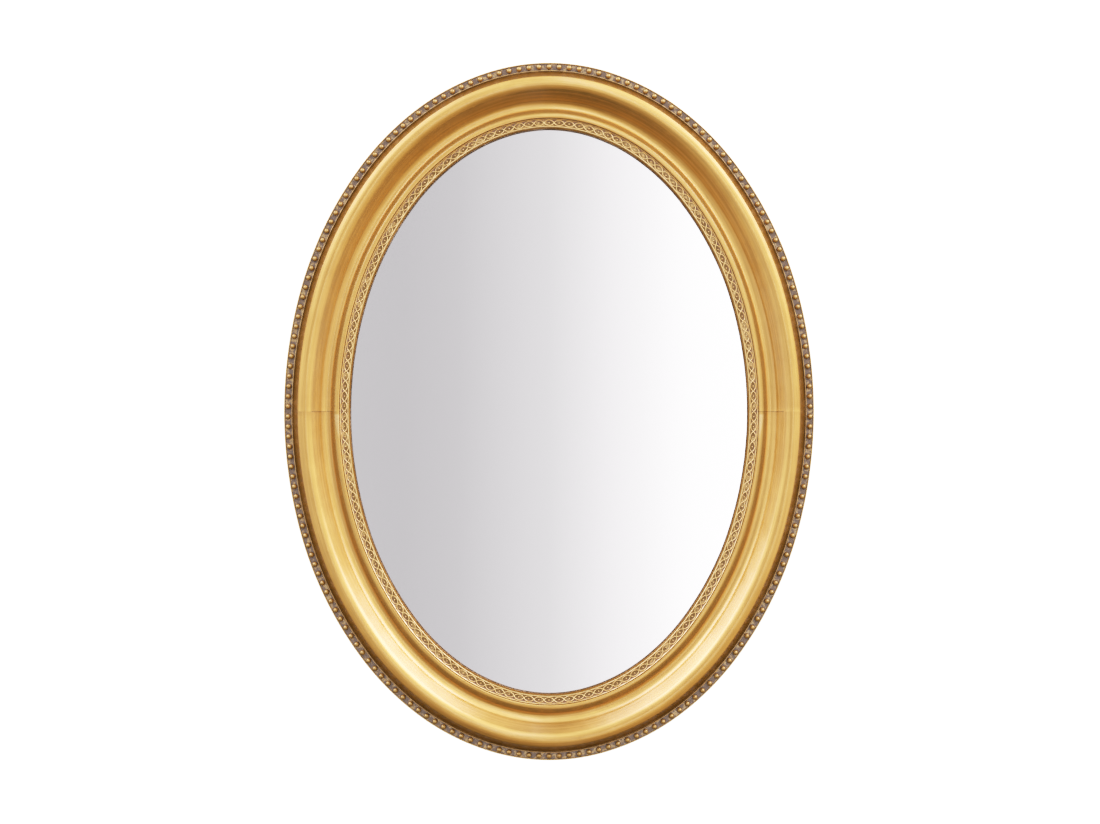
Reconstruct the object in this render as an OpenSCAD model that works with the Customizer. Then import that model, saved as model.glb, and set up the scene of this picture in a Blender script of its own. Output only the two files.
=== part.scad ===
// Oval wall mirror in a gilded, ornamented wooden frame.
// World frame: X across, Z up, the mirror looks towards -Y, and the wall is the plane Y = 0.
// Every piece is drawn lying down, with its back at height 0 and its face upwards,
// and stood up against the wall by hang_up().

/* [Overall size] */
// Width over the frame's outer edge
outer_w = 570; // [520:10:620]
// Height over the frame's outer edge
outer_h = 750; // [690:10:810]
// Width of the moulding, from the outer edge to the sight edge
rail_w = 71.7; // [71.5:0.1:76]

/* [Moulding] */
// Height of the big roll's crest above the frame's back
crest_h = 30; // [28:0.5:36]
// Distance of the big roll's crest from the outer edge
crest_u = 24; // [23:0.5:25]
// Radius of the big roll between its crest and its outer shoulder
big_roll_r = 15; // [13:0.5:18]
// Slope of the big roll at its shoulder, in degrees
shoulder_slope = 26; // [20:1:30]
// Radius that rounds the shoulder
shoulder_r = 1.5; // [0.8:0.1:2]
// Radius that the crest turns over with, towards the hollow
crest_r = 11; // [9:0.5:13]
// Steepest slope between the crest and the hollow, in degrees
fall_slope = 45; // [42:1:48]
// Distance of the hollow's bottom from the outer edge
hollow_u = 47.3; // [46:0.1:48]
// Radius of the hollow
hollow_r = 5; // [4:0.5:7]
// Slope that the hollow rises to at the small roll, in degrees
rise_slope = 41; // [35:1:46]
// Distance of the small roll's crest from the outer edge
roll_u = 59.3; // [59:0.1:59.6]
// Radius of the small roll
roll_r = 4; // [3:0.5:5]
// Chamfer round the back of the outer edge
back_chamfer = 1; // [0.5:0.1:2]

/* [Pearl beading] */
// Width of the beading strip
pearl_strip_w = 9.3; // [8:0.1:9.6]
// Height of the wooden step that the beading is glued on
pearl_seat_h = 10; // [8:0.5:11]
// Thickness of the beading strip under the pearls
pearl_bed_t = 2; // [1:0.1:3]
// Height of the fillets on both sides of the pearls, above the bed
pearl_fillet_h = 1.2; // [0.5:0.1:2]
// Width of each fillet
pearl_fillet_w = 1.2; // [0.8:0.1:1.8]
// Radius of a pearl
pearl_r = 3; // [2:0.1:3.2]
// Height of a pearl's centre above the bed
pearl_lift = 0.6; // [0:0.1:1.5]
// Pearls on each half of the frame
pearls_per_half = 95; // [60:1:100]

/* [Guilloche band] */
// Width of the guilloche strip
band_w = 9.3; // [8.8:0.1:9.6]
// Height of the wooden step that the band is glued on
band_seat_h = 16; // [15:0.5:17]
// Thickness of the band
band_t = 2.4; // [1.8:0.1:3]
// Depth of the carving
carve_depth = 0.9; // [0.4:0.1:1.2]
// Loops on each half of the frame
loops_per_half = 77; // [60:1:80]
// How far a strand's middle line swings from the middle of the band
strand_swing = 2.9; // [2.5:0.1:3.1]
// Width of a strand
strand_w = 1.3; // [0.8:0.1:1.6]
// Radius of the boss inside each loop
boss_r = 1.25; // [0.6:0.05:1.5]
// Width of the plain fillets along the band's edges
band_fillet_w = 1.3; // [1:0.1:1.5]

/* [Sight edge and rebate] */
// Height of the sight lip above the frame's back
lip_h = 17.4; // [17:0.1:18]
// Radius that rounds the sight lip
lip_r = 1.2; // [0.5:0.1:1.5]
// How far the lip covers the glass
glass_cover = 6; // [4:0.5:8]
// Depth of the rebate, from the frame's back to the glass's face
rebate_d = 12; // [10:0.5:12.5]

/* [Mirror and backing] */
// Thickness of the glass
glass_t = 4; // [3:0.5:5]
// Thickness of the silvering with its paint
silver_t = 0.2; // [0.1:0.05:0.4]
// Thickness of the backing board
board_t = 3; // [2.5:0.5:4]
// Gap between the glass and the rebate's wall
glass_gap = 1; // [0.5:0.1:2]
// Gap between the backing board and the rebate's wall
board_gap = 0.8; // [0.5:0.1:2]

/* [Retaining points] */
// Retaining points on each half of the frame
points_per_half = 6; // [4:1:8]
// Width of a point
point_w = 8; // [6:0.5:10]
// Thickness of a point
point_t = 0.6; // [0.5:0.1:1]
// Length that lies on the board
point_out = 9; // [7:0.5:12]
// Length that is driven into the wood
point_in = 6; // [4:0.5:8]

/* [Glued joints] */
// Diameter of a dowel
dowel_d = 8; // [6:0.5:9]
// Length of a dowel
dowel_len = 40; // [30:1:50]
// Distances of the two dowels from the outer edge, and their heights above the back
dowel_spots = [[20, 12.5], [40, 8]];

/* [Hangers] */
// Width of a hanger strap
strap_w = 12.4; // [11:0.2:12.4]
// Thickness of a hanger strap
strap_t = 1; // [0.8:0.1:1.2]
// Length of a strap below the ring's pin
strap_len = 31; // [30:1:38]
// Radius of the ring's wire
ring_wire_r = 1.25; // [1:0.05:1.25]
// Radius of the ring's bow, to the middle of the wire
ring_bow_r = 10; // [9.8:0.1:12]
// Distance of the bow's centre from the ring's pin
ring_bow_rise = 5.5; // [4:0.5:5.5]
// Radius of the elbows between the pin and the bow, to the middle of the wire
ring_elbow_r = 2.5; // [2:0.1:3]
// Distances of the two screws below the ring's pin
screw_drops = [9, 23.5];
// Radius of a screw's head
screw_head_r = 3; // [2.5:0.1:3.2]
// Radius of a screw's shank
screw_r = 1.6; // [1.25:0.05:1.75]
// Length of a screw under its head
screw_len = 14; // [10:1:14]
// Where on the upper half the hangers sit: the direction of the frame's edge there, in degrees
hanger_normal = 48; // [42:1:52]

/* [Wall bumpers] */
// Thickness of a bumper, which keeps the frame off the wall
bumper_t = 5; // [4.8:0.1:8]
// Radius of a bumper
bumper_r = 7; // [5:0.5:10]
// Where on the lower half the bumpers sit, in the same way as the hangers
bumper_normal = 60; // [45:1:75]

/* [Fits] */
// Glue gap round a dowel and a retaining point
glue_gap = 0.1; // [0.05:0.01:0.2]
// Gap beside an ornament strip in its seat
strip_gap = 0.3; // [0.2:0.05:0.5]
// Running clearance of a ring's pin in its strap
pin_gap = 0.08; // [0.05:0.01:0.1]
// Gap between a screw and its pilot hole
screw_gap = 0.05; // [0.03:0.01:0.1]

/* [Hidden] */
$fn = 96;

gold = "goldenrod";
antique = "darkgoldenrod";
steel = "silver";
epsilon = 0.01;

// The oval is drawn with five radii to a quarter, which follow an ellipse closely.
// Each arc ends where the edge faces one of these directions, whose sines and cosines
// are those of right triangles with whole sides: 24-7-25, 4-3-5, 3-4-5 and 7-24-25.
breaks = [0, atan2(7, 24), atan2(3, 4), atan2(4, 3), atan2(24, 7), 90];
// From break to break the cosine falls by these shares of 1/25, and the sine by the same
// shares in the other order
shares = [1, 4, 5, 8, 7];
rising = [7, 8, 5, 4, 1];
half_w = outer_w / 2;
half_h = outer_h / 2;

function ellipse_radius(direction) =
    pow(half_w * half_h, 2)
    / pow(pow(half_w * cos(direction), 2) + pow(half_h * sin(direction), 2), 1.5);

// All radii are whole numbers of grains of 1/40 mm, so every arc's centre lies at a whole
// number of thousandths of a millimetre, and neighbouring arcs end on exactly one plane.
grain = 1 / 40;
function to_even(value) = 2 * round(value / 2);
across = to_even(half_w / grain * 25);
upwards = to_even(half_h / grain * 25);
// The three middle radii are the ellipse's own at these directions, to the nearest 2.5 mm
middle_directions = [26.5, 47, 61.3];
coarse = 100;
near = [for (d = middle_directions) round(ellipse_radius(d) / grain / coarse) * coarse];
// The first and last radii close the quarter at the half width and the half height. They come
// out whole when this is, and a few grains more on two of the middle ones always make it so.
function top_grains(n) = (7 * (across - shares * [0, each n, 0]) - upwards + rising * [0, each n, 0])
    / 48;
function is_whole(value) = abs(value - round(value)) < 0.001;
tries = [for (a = [0:2], b = [0:7]) near + [a, b, 0]];
middle = [for (n = tries) if (is_whole(top_grains(n))) n][0];
top = round(top_grains(middle));
side = across - shares * [0, each middle, top];
radii = grain * [side, each middle, top];

function centre(i) = i == 0
    ? [half_w - radii[0], 0]
    : centre(i - 1) + (radii[i - 1] - radii[i]) * [cos(breaks[i]), sin(breaks[i])];
// The nine arcs of the upper half, from the right seam to the left: centre, radius, first
// and last direction. The lower half is the upper one turned half way round.
right_arcs = [for (i = [0:3]) [centre(i), radii[i], breaks[i], breaks[i + 1]]];
top_arc = [centre(4), radii[4], breaks[4], 180 - breaks[4]];
left_arcs = [for (i = [3:-1:0])
    [[-centre(i).x, centre(i).y], radii[i], 180 - breaks[i + 1], 180 - breaks[i]]];
arcs = [each right_arcs, top_arc, each left_arcs];

function arc_length(arc, inset) = (arc[1] - inset) * (arc[3] - arc[2]) * PI / 180;
function half_length(inset) = let (lengths = [for (a = arcs) arc_length(a, inset)])
    lengths * [for (a = arcs) 1];
function spot_at(arc, inset, direction) =
    [arc[0].x + (arc[1] - inset) * cos(direction), arc[0].y + (arc[1] - inset) * sin(direction), direction];
// The place a given way along the upper half, at an inset from the outer edge: x, y, direction
function spot(way, inset, i = 0) = let (a = arcs[i], run = arc_length(a, inset))
    way <= run || i == len(arcs) - 1
        ? spot_at(a, inset, a[2] + way / (a[1] - inset) * 180 / PI)
        : spot(way - run, inset, i + 1);
function facing(direction, inset) =
    [for (a = arcs) if (direction >= a[2] && direction <= a[3]) spot_at(a, inset, direction)][0];
wedge_reach = 1000 * ceil(outer_h / 500);
function wedge_corner(direction) = wedge_reach * [cos(direction), sin(direction)];
// The whole oval as a closed outline, at an inset, with a point every few degrees
outline_step = 2.5;
function outline_half(inset) = [for (a = arcs) let (n = ceil((a[3] - a[2]) / outline_step))
    for (k = [0:n - 1]) let (p = spot_at(a, inset, a[2] + (a[3] - a[2]) * k / n)) [p.x, p.y]];
function outline(inset) = let (half = outline_half(inset)) [each half, each [for (p = half) -p]];

function curve(middle, size, from, to, steps) =
    [for (i = [0:steps]) let (a = from + (to - from) * i / steps)
        middle + [size.x * cos(a), size.y * sin(a)]];

// Heights of the moulding that follow from its slopes and radii
turn = crest_r + hollow_r;
hollow_h = crest_h - turn * (1 - cos(fall_slope))
    - tan(fall_slope) * (hollow_u - crest_u - turn * sin(fall_slope));
rise_u = hollow_u + hollow_r * sin(rise_slope);
rise_h = hollow_h + hollow_r * (1 - cos(rise_slope));
roll_h = rise_h + (roll_u - roll_r * sin(rise_slope) - rise_u) * tan(rise_slope)
    - roll_r * cos(rise_slope);
roll_end = 75;
roll_foot_u = pearl_strip_w + strip_gap;
foot_rise = 0.5;
foot_step = 0.4;
flank_foot = [roll_foot_u + foot_step, pearl_seat_h + pearl_bed_t + foot_rise];
// Centre of the rounded shoulder, and the slope of the flank that touches it
shoulder = [crest_u, crest_h - big_roll_r]
    + (big_roll_r - shoulder_r) * [-sin(shoulder_slope), cos(shoulder_slope)];
flank = shoulder - flank_foot;
flank_slope = atan2(flank.y, flank.x) + asin(shoulder_r / norm(flank));
big_roll_steps = 6;
crest_start = 85;
band_u = roll_u + roll_r * cos(roll_end) + strip_gap;
lip_u = band_u + band_w + strip_gap;
rebate_u = rail_w - glass_cover;
board_h = rebate_d - glass_t - silver_t - board_t;
point_h = board_h - point_t;

// Section of the wooden moulding: distance in from the outer edge, height above the back
wood_section = [
    [back_chamfer, 0],
    [0, back_chamfer],
    [0, pearl_seat_h],
    [roll_foot_u, pearl_seat_h],
    [roll_foot_u, flank_foot.y],
    flank_foot,
    each curve(shoulder, [shoulder_r, shoulder_r], 90 + flank_slope, 90 + shoulder_slope, 4),
    each curve([crest_u, crest_h - big_roll_r], [big_roll_r, big_roll_r],
        90 + shoulder_slope * (1 - 1 / big_roll_steps), 90, big_roll_steps - 1),
    each curve([crest_u, crest_h - crest_r], [crest_r, crest_r], crest_start, 90 - fall_slope, 5),
    each curve([hollow_u, hollow_h + hollow_r], [hollow_r, hollow_r],
        270 - fall_slope, 270 + rise_slope, 12),
    each curve([roll_u, roll_h], [roll_r, roll_r], 90 + rise_slope, roll_end, 8),
    [band_u - strip_gap, band_seat_h],
    [lip_u, band_seat_h],
    [lip_u, lip_h],
    each curve([rail_w - lip_r, lip_h - lip_r], [lip_r, lip_r], 90, 0, 4),
    [rail_w, rebate_d],
    [rebate_u, rebate_d],
    [rebate_u, 0]
];

fillet_slope_w = 0.4;
pearl_bed_h = pearl_seat_h + pearl_bed_t;
pearl_top_h = pearl_bed_h + pearl_fillet_h;
pearl_section = [
    [0, pearl_seat_h],
    [0, pearl_top_h - fillet_slope_w],
    [fillet_slope_w, pearl_top_h],
    [pearl_fillet_w, pearl_top_h],
    [pearl_fillet_w + fillet_slope_w, pearl_bed_h],
    [pearl_strip_w - pearl_fillet_w - fillet_slope_w, pearl_bed_h],
    [pearl_strip_w - pearl_fillet_w, pearl_top_h],
    [pearl_strip_w, pearl_top_h],
    [pearl_strip_w, pearl_seat_h]
];

band_edge = 0.3;
band_top_h = band_seat_h + band_t;
band_section = [
    [band_u, band_seat_h],
    [band_u, band_top_h - band_edge],
    [band_u + band_edge, band_top_h],
    [band_u + band_w - band_edge, band_top_h],
    [band_u + band_w, band_top_h - band_edge],
    [band_u + band_w, band_seat_h]
];

// Stands a piece up against the wall
module hang_up() {
    translate([0, -bumper_t, 0])
        rotate([90, 0, 0])
            children();
}

module other_half() {
    rotate([0, 0, 180])
        children();
}

// Runs a section round the upper half of the oval. Each arc is a piece of a whole ring, cut out
// between its first and its last direction, so that neighbours meet on one plane.
module run_half(section) {
    for (a = arcs)
        translate([a[0].x, a[0].y, 0])
            intersection() {
                rotate_extrude()
                    polygon([for (p = section) [a[1] - p.x, p.y]]);
                linear_extrude(2 * crest_h, center = true)
                    polygon([[0, 0], wedge_corner(a[2]), wedge_corner(a[3])]);
            }
}

// Puts a shape at a place on the oval, with its own X axis pointing outwards
module put_at(place) {
    translate([place.x, place.y, 0])
        rotate([0, 0, place.z])
            children();
}

// The bores for one seam's dowels, drawn across the seam
module dowel_bores(end_x) {
    for (d = dowel_spots)
        translate([end_x - sign(end_x) * d.x, 0, d.y])
            rotate([90, 0, 0])
                cylinder(r = dowel_d / 2 + glue_gap, h = dowel_len + 2, center = true);
}

module point_places() {
    for (i = [0:points_per_half - 1])
        put_at(spot((i + 0.5) * half_length(rebate_u) / points_per_half, rebate_u))
            children();
}

// The slots start a little inside the rebate, because its wall is curved
module point_slots() {
    start = point_w / 8;
    point_places()
        translate([-start, -point_w / 2 - glue_gap, point_h - glue_gap])
            cube([start + point_in + glue_gap, point_w + 2 * glue_gap, point_t + 2 * glue_gap]);
}

// A strap's pin is over the middle of the moulding's flat back, half a strap above that place
hanger_place = facing(hanger_normal, rebate_u / 2);
hanger_pin = [hanger_place.x, hanger_place.y + strap_len / 2];
knuckle_r = ring_wire_r + pin_gap + strap_t;

module pilot_holes() {
    for (side = [-1, 1])
        for (drop = screw_drops)
            translate([side * hanger_pin.x, hanger_pin.y - drop, -epsilon])
                cylinder(r = screw_r + screw_gap, h = screw_len - strap_t + 1, $fn = 32);
}

module wood_half() {
    difference() {
        run_half(wood_section);
        dowel_bores(half_w);
        dowel_bores(-half_w);
        point_slots();
    }
}

module frame_upper_half() {
    color(gold)
        hang_up()
            difference() {
                wood_half();
                pilot_holes();
            }
}

module frame_lower_half() {
    color(gold)
        hang_up()
            other_half()
                wood_half();
}

// Two beech dowels across one seam, with chamfered ends
module joint_dowels(side) {
    dowel_chamfer = 1;
    color("burlywood")
        hang_up()
            for (d = dowel_spots)
                translate([side * (half_w - d.x), 0, d.y])
                    rotate([90, 0, 0])
                        intersection() {
                            cylinder(r = dowel_d / 2, h = dowel_len, center = true);
                            union() {
                                cone = dowel_d / 2 + dowel_len / 2 - dowel_chamfer;
                                cylinder(r1 = cone, r2 = 0, h = cone);
                                mirror([0, 0, 1])
                                    cylinder(r1 = cone, r2 = 0, h = cone);
                            }
                        }
}

// A ball that is cut off below, inside the strip
module pearl() {
    foot = pearl_lift + pearl_bed_t / 2;
    difference() {
        sphere(r = pearl_r, $fn = 24);
        translate([-pearl_r, -pearl_r, -foot - 2 * pearl_r])
            cube(2 * pearl_r);
    }
}

module pearl_beading_half() {
    inset = pearl_strip_w / 2;
    pitch = half_length(inset) / pearls_per_half;
    union() {
        run_half(pearl_section);
        for (i = [0:pearls_per_half - 1]) {
            place = spot((i + 0.5) * pitch, inset);
            translate([place.x, place.y, pearl_bed_h + pearl_lift])
                pearl();
        }
    }
}

module pearl_beading_upper() {
    color(antique)
        hang_up()
            pearl_beading_half();
}

module pearl_beading_lower() {
    color(antique)
        hang_up()
            other_half()
                pearl_beading_half();
}

// The strands are arcs that swing from crossing to crossing, so each follows from the pitch
band_inset = band_u + band_w / 2;
loop_pitch = half_length(band_inset) / loops_per_half;
strand_r = (pow(loop_pitch / 2, 2) + pow(strand_swing, 2)) / (2 * strand_swing);
strand_offset = strand_r - strand_swing;
carve_floor = band_top_h - carve_depth;
carve_fn = 40;

module carver(r) {
    cylinder(r = r, h = carve_depth + 1, $fn = carve_fn);
}

// The lens-shaped hollow inside a loop, round its boss
module loop_hollow() {
    difference() {
        intersection() {
            translate([strand_offset, 0, 0])
                carver(strand_r - strand_w / 2);
            translate([-strand_offset, 0, 0])
                carver(strand_r - strand_w / 2);
        }
        translate([0, 0, -epsilon])
            cylinder(r = boss_r, h = carve_depth + 1 + 2 * epsilon, $fn = carve_fn);
    }
}

// The three-cornered hollow between two loops and one edge of the band
module corner_hollow(side) {
    reach = band_w / 2 - band_fillet_w;
    difference() {
        translate([side > 0 ? 0 : -reach, -loop_pitch / 2, 0])
            cube([reach, loop_pitch, carve_depth + 1]);
        for (neighbour = [-1, 1])
            translate([-side * strand_offset, neighbour * loop_pitch / 2, -epsilon])
                cylinder(r = strand_r + strand_w / 2, h = carve_depth + 1 + 2 * epsilon, $fn = carve_fn);
    }
}

module guilloche_band_half() {
    difference() {
        run_half(band_section);
        for (i = [0:loops_per_half - 1])
            put_at(spot((i + 0.5) * loop_pitch, band_inset))
                translate([0, 0, carve_floor])
                    loop_hollow();
        for (i = [1:loops_per_half - 1])
            put_at(spot(i * loop_pitch, band_inset))
                translate([0, 0, carve_floor]) {
                    corner_hollow(1);
                    corner_hollow(-1);
                }
    }
}

module guilloche_band_upper() {
    color(antique)
        hang_up()
            guilloche_band_half();
}

module guilloche_band_lower() {
    color(antique)
        hang_up()
            other_half()
                guilloche_band_half();
}

// A flat oval plate that stops short of the rebate's wall
module oval_plate(gap, from_h, thickness) {
    translate([0, 0, from_h])
        linear_extrude(thickness)
            polygon(outline(rebate_u + gap));
}

module mirror_glass() {
    color("lightcyan")
        hang_up()
            oval_plate(glass_gap, rebate_d - glass_t, glass_t);
}

module silvering() {
    color("gainsboro")
        hang_up()
            oval_plate(glass_gap, rebate_d - glass_t - silver_t, silver_t);
}

module backing_board() {
    color("peru")
        hang_up()
            oval_plate(board_gap, board_h, board_t);
}

// A flat steel point: a blunt tab over the board and a tapered end in the wood
module retaining_point() {
    taper = 1.5;
    translate([0, 0, point_h])
        linear_extrude(point_t)
            polygon([
                [-point_out, -point_w / 2 + taper],
                [-point_out + taper, -point_w / 2],
                [0, -point_w / 2],
                [point_in, -point_w / 2 + taper],
                [point_in, point_w / 2 - taper],
                [0, point_w / 2],
                [-point_out + taper, point_w / 2],
                [-point_out, point_w / 2 - taper]
            ]);
}

module retaining_points() {
    color(steel)
        hang_up() {
            point_places()
                retaining_point();
            other_half()
                point_places()
                    retaining_point();
        }
}

// Hangers are drawn with the ring's pin at the origin, +Y up the wall and the wood at height 0
// turned over, so that height grows towards the wall.
module at_hanger(side) {
    translate([side * hanger_pin.x, -bumper_t, hanger_pin.y])
        rotate([90, 0, 0])
            mirror([0, 0, 1])
                children();
}

module hanger_strap(side) {
    color(steel)
        at_hanger(side)
            difference() {
                union() {
                    translate([-strap_w / 2, -strap_len + strap_w / 2, 0])
                        cube([strap_w, strap_len - strap_w / 2, strap_t]);
                    translate([0, -strap_len + strap_w / 2, 0])
                        cylinder(r = strap_w / 2, h = strap_t);
                    translate([-strap_w / 2, 0, knuckle_r])
                        rotate([0, 90, 0])
                            cylinder(r = knuckle_r, h = strap_w);
                }
                translate([-strap_w / 2 - 1, 0, knuckle_r])
                    rotate([0, 90, 0])
                        cylinder(r = ring_wire_r + pin_gap, h = strap_w + 2);
                for (drop = screw_drops)
                    translate([0, -drop, -1])
                        cylinder(r = screw_r + screw_gap, h = strap_t + 2, $fn = 32);
            }
}

// Bends the ring's wire from one direction on through a sweep
module wire_bend(bend_r, from, sweep) {
    rotate_extrude(angle = sweep, start = from)
        translate([bend_r, 0])
            circle(r = ring_wire_r, $fn = 48);
}

// A D-shaped ring: a straight pin in the strap's knuckle, an elbow and a leg on each side,
// and a half-round bow
module hanger_ring(side) {
    half_pin = ring_bow_r - ring_elbow_r;
    color(steel)
        at_hanger(side)
            translate([0, 0, knuckle_r])
                union() {
                    translate([-half_pin, 0, 0])
                        rotate([0, 90, 0])
                            cylinder(r = ring_wire_r, h = 2 * half_pin);
                    for (end = [-1, 1]) {
                        translate([end * half_pin, ring_elbow_r, 0])
                            wire_bend(ring_elbow_r, end > 0 ? -90 : 180, 90);
                        translate([end * ring_bow_r, ring_elbow_r, 0])
                            rotate([-90, 0, 0])
                                cylinder(r = ring_wire_r, h = ring_bow_rise - ring_elbow_r);
                    }
                    translate([0, ring_bow_rise, 0])
                        wire_bend(ring_bow_r, 0, 180);
                }
}

// A pan-headed wood screw with a crossed slot
module hanger_screw() {
    head_h = 2;
    slot_w = 0.8;
    slot_len = 3.6;
    slot_depth = 1;
    head_taper = 0.6;
    tip_len = 3;
    tip_r = 0.2;
    translate([0, 0, strap_t])
        difference() {
            union() {
                cylinder(r = screw_head_r, h = head_h / 2);
                translate([0, 0, head_h / 2])
                    cylinder(r1 = screw_head_r, r2 = screw_head_r * head_taper, h = head_h / 2);
            }
            for (turn_by = [0, 90])
                rotate([0, 0, turn_by])
                    translate([-slot_len / 2, -slot_w / 2, head_h - slot_depth])
                        cube([slot_len, slot_w, 2 * slot_depth]);
        }
    translate([0, 0, strap_t - screw_len + tip_len])
        cylinder(r = screw_r, h = screw_len - tip_len + epsilon);
    translate([0, 0, strap_t - screw_len])
        cylinder(r1 = tip_r, r2 = screw_r, h = tip_len);
}

module hanger_screws(side) {
    color(steel)
        at_hanger(side)
            for (drop = screw_drops)
                translate([0, -drop, 0])
                    hanger_screw();
}

module bumper(side) {
    place = facing(bumper_normal, rebate_u / 2);
    bumper_edge = 0.6;
    color("dimgray")
        translate([side * place.x, 0, -place.y])
            rotate([90, 0, 0])
                union() {
                    cylinder(r1 = bumper_r - bumper_edge, r2 = bumper_r, h = bumper_edge);
                    translate([0, 0, bumper_edge])
                        cylinder(r = bumper_r, h = bumper_t - bumper_edge);
                }
}

frame_upper_half();
frame_lower_half();
joint_dowels(-1);  // joint_dowels_left
joint_dowels(1);  // joint_dowels_right
pearl_beading_upper();
pearl_beading_lower();
guilloche_band_upper();
guilloche_band_lower();
mirror_glass();
silvering();
backing_board();
retaining_points();
hanger_strap(-1);  // hanger_strap_left
hanger_strap(1);  // hanger_strap_right
hanger_ring(-1);  // hanger_ring_left
hanger_ring(1);  // hanger_ring_right
hanger_screws(-1);  // hanger_screws_left
hanger_screws(1);  // hanger_screws_right
bumper(-1);  // bumper_left
bumper(1);  // bumper_right
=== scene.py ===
# %% [markdown]
# # An oval mirror in a gilded frame
# The real thing is a wooden moulding, made in two halves round an oval and covered with chalk
# ground and gold leaf. A row of pearls runs along its outer edge and a carved guilloche, a
# band of interlaced strands, along the opening that the mirror is seen through.
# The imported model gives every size, so it is loaded first and stays as it is.

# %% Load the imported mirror
import math

import bmesh
import bpy
import numpy as np
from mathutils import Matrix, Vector


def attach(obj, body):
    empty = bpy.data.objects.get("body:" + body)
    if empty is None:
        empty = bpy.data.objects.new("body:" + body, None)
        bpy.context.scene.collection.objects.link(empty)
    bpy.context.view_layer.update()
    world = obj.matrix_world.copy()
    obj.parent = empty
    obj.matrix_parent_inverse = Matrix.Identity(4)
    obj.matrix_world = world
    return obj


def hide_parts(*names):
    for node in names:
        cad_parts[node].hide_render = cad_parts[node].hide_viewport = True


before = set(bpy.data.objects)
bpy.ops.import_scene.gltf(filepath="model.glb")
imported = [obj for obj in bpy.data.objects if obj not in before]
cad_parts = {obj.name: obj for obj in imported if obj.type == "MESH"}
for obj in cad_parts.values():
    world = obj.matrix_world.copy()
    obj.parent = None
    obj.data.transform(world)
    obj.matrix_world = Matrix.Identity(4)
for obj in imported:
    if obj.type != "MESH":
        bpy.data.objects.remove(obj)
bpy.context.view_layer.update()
bpy.ops.object.select_all(action="DESELECT")
print("nodes:", len(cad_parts))

# %% [markdown]
# ## The camera
# The photograph looks at the mirror from straight in front, with no tilt. A long lens far
# back would flatten everything, and a short one would show the frame's inner flanks; 2.5 m
# is what a photographer in a shop would use. The lens then follows from the frame's height
# in the picture, and a small shift puts the mirror where the photograph has it.

# %% The camera
MM = 0.001
SENSOR = 36
DISTANCE = 2.5
PICTURE = (1100, 824)
MIRROR_IN_PICTURE = (549.0, 411.5)
# How much of the frame one pixel shows, and how far its crest stands off the wall
PIXEL = 1.075 * MM
CREST = 35 * MM

camera_data = bpy.data.cameras.new("camera")
camera = bpy.data.objects.new("camera", camera_data)
bpy.context.scene.collection.objects.link(camera)
camera.location = (0, -DISTANCE, 0)
camera.rotation_euler = (math.pi / 2, 0, 0)
camera_data.sensor_width = SENSOR
camera_data.lens = SENSOR * (DISTANCE - CREST / 2) / (PICTURE[0] * PIXEL)
camera_data.shift_x = (PICTURE[0] / 2 - MIRROR_IN_PICTURE[0]) / PICTURE[0]
camera_data.shift_y = -(PICTURE[1] / 2 - MIRROR_IN_PICTURE[1]) / PICTURE[0]
bpy.context.scene.camera = camera
print("lens in mm:", round(camera_data.lens, 1))

# %% [markdown]
# ## The light
# Polished gold has hardly any colour of its own: it shows what stands round it. The mirror
# shows nothing else. Lamps would show in both as hard spots, so the light is a large soft
# studio, painted on the world by direction: brighter above and to both sides, dim below, and
# an even slope from left to right straight in front, which is what the glass shows. Two
# curves are multiplied, one for up and down and one for left and right. Two more tint the
# light, which is warm below and a little to the sides. Four round glows, high up, are the
# softboxes that put the bright lines on the rolls. Seen directly, the world is the
# photograph's white.

# %% A short way to add nodes
def node(tree, kind, inputs=(), **settings):
    """Adds a shader node; inputs are numbers, colours or the sockets they come from"""
    made = tree.nodes.new("ShaderNode" + kind)
    for name, value in settings.items():
        setattr(made, name, value)
    for name, value in dict(inputs).items():
        if isinstance(value, bpy.types.NodeSocket):
            tree.links.new(value, made.inputs[name])
        else:
            made.inputs[name].default_value = value
    return made


def curve_of(tree, value, stops, eased=True):
    """A colour ramp: stops are (place from 0 to 1, colour or grey)"""
    made = node(tree, "ValToRGB", {0: value})
    ramp = made.color_ramp
    ramp.interpolation = "EASE" if eased else "LINEAR"
    while len(ramp.elements) < len(stops):
        ramp.elements.new(0.5)
    for element, (place, colour) in zip(ramp.elements, stops):
        grey = isinstance(colour, (int, float))
        element.position = place
        element.color = (colour, colour, colour, 1) if grey else (*colour, 1)
    return made.outputs[0]


def maths(tree, operation, first, second=0.0, third=0.0, clamp=False):
    """One step of arithmetic on up to three numbers or sockets"""
    inputs = {0: first, 1: second, 2: third}
    return node(tree, "Math", inputs, operation=operation, use_clamp=clamp).outputs[0]


# %% The studio, by direction
# A ramp's colours end at 1, so both curves are divided by this, and the world's strength
# makes up for it twice
BRIGHTEST = 3.0

world = bpy.data.worlds.new("studio")
bpy.context.scene.world = world
world.use_nodes = True
studio = world.node_tree
studio.nodes.clear()
towards = node(studio, "TexCoord").outputs["Generated"]
direction = node(studio, "SeparateXYZ", {0: towards}).outputs


def on_ramp(share):
    """A direction's share along one axis, from -1 to 1, as a place from 0 to 1"""
    return maths(studio, "MULTIPLY_ADD", share, 0.5, 0.5)


def glow_curve(share, stops):
    """Radiance, up to BRIGHTEST, by a direction's share along one axis"""
    places = [((x + 1) / 2, y / BRIGHTEST) for x, y in stops]
    return curve_of(studio, on_ramp(share), places, eased=False)


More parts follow.
